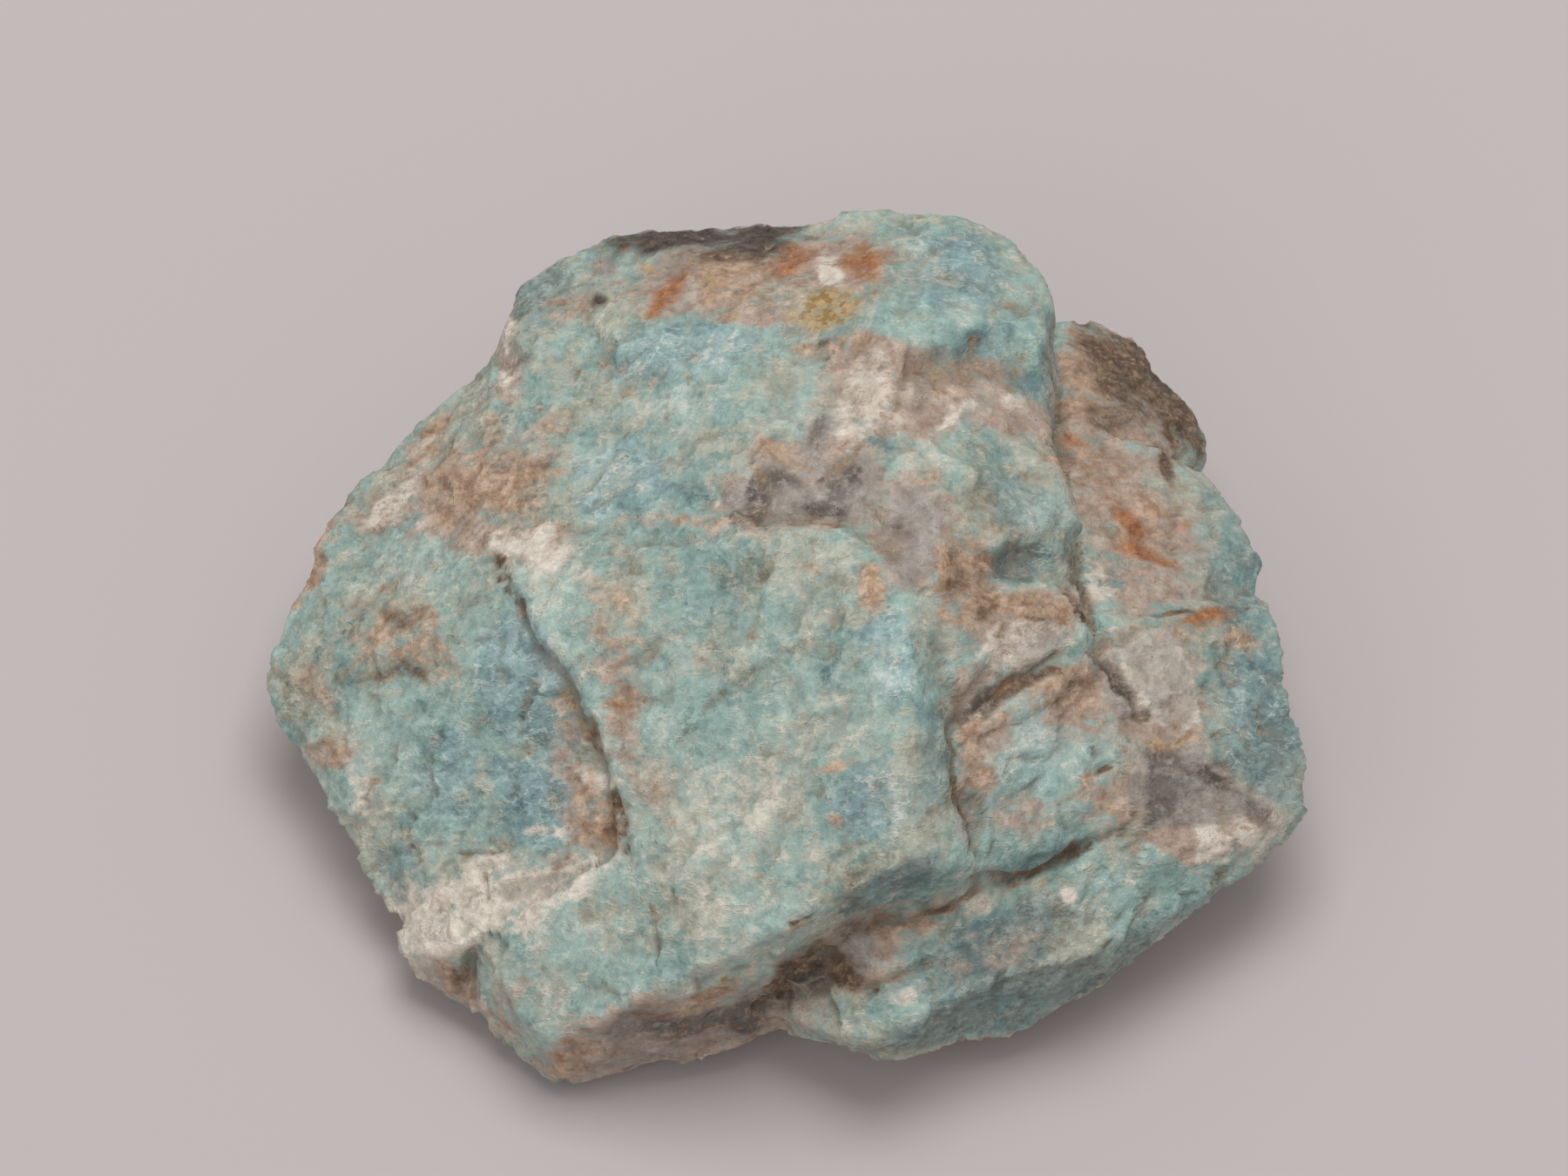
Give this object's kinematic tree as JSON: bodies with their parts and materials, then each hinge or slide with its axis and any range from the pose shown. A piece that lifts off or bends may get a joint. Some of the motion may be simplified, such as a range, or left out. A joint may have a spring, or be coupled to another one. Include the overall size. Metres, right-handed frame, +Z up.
{
  "type": "raw amazonite",
  "caption": "Rough broken lump of blue-green feldspar with cleaved faces, ledges and a flat patch to rest on.",
  "frame": {"origin": "middle of the stone's bounding box, on the surface it rests on", "axes": "+X along the stone's longest side, to the right seen from the front; +Y from the front to the back; +Z up from the rest face"},
  "size_m": [0.0996, 0.0818, 0.0405],
  "materials": {
    "amazonite": "sugary broken feldspar, matt with small glints"
  },
  "bodies": {
    "root": {"amazonite": "amazonite"}
  },
  "joints": []
}
